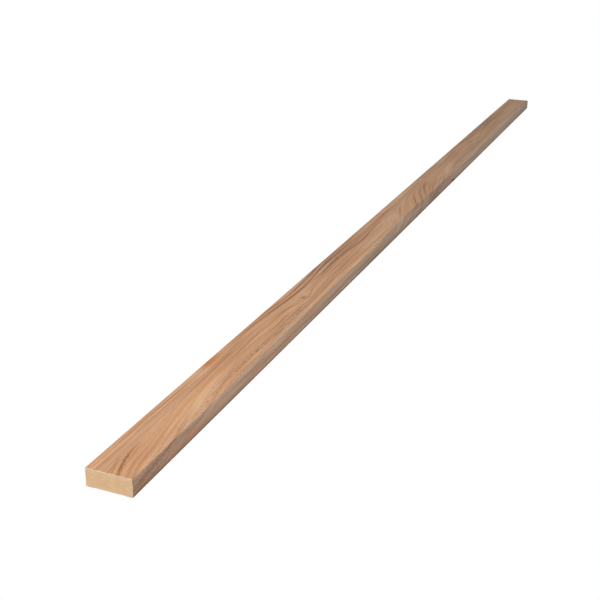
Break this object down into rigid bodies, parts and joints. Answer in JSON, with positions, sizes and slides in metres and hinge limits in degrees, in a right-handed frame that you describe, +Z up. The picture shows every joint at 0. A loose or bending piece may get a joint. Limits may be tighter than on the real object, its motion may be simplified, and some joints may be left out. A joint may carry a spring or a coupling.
{
  "type": "threshold strip",
  "caption": "Long rectangular MDF bar wrapped in a wood-decor foil, sawn square at both ends, laid flat across the floor of a doorway.",
  "frame": {"origin": "on the floor, under the middle of the bar: the centre of the underside", "axes": "+X along the bar, across the doorway; +Y from one room to the other; +Z up, out of the finished face"},
  "size_m": [2, 0.05, 0.02],
  "materials": {
    "mdf": "matte",
    "hot_melt": "satin",
    "decor_foil": "satin"
  },
  "bodies": {
    "root": {"mdf_core": "mdf", "glue_film": "hot_melt", "decor_foil": "decor_foil"}
  },
  "joints": []
}
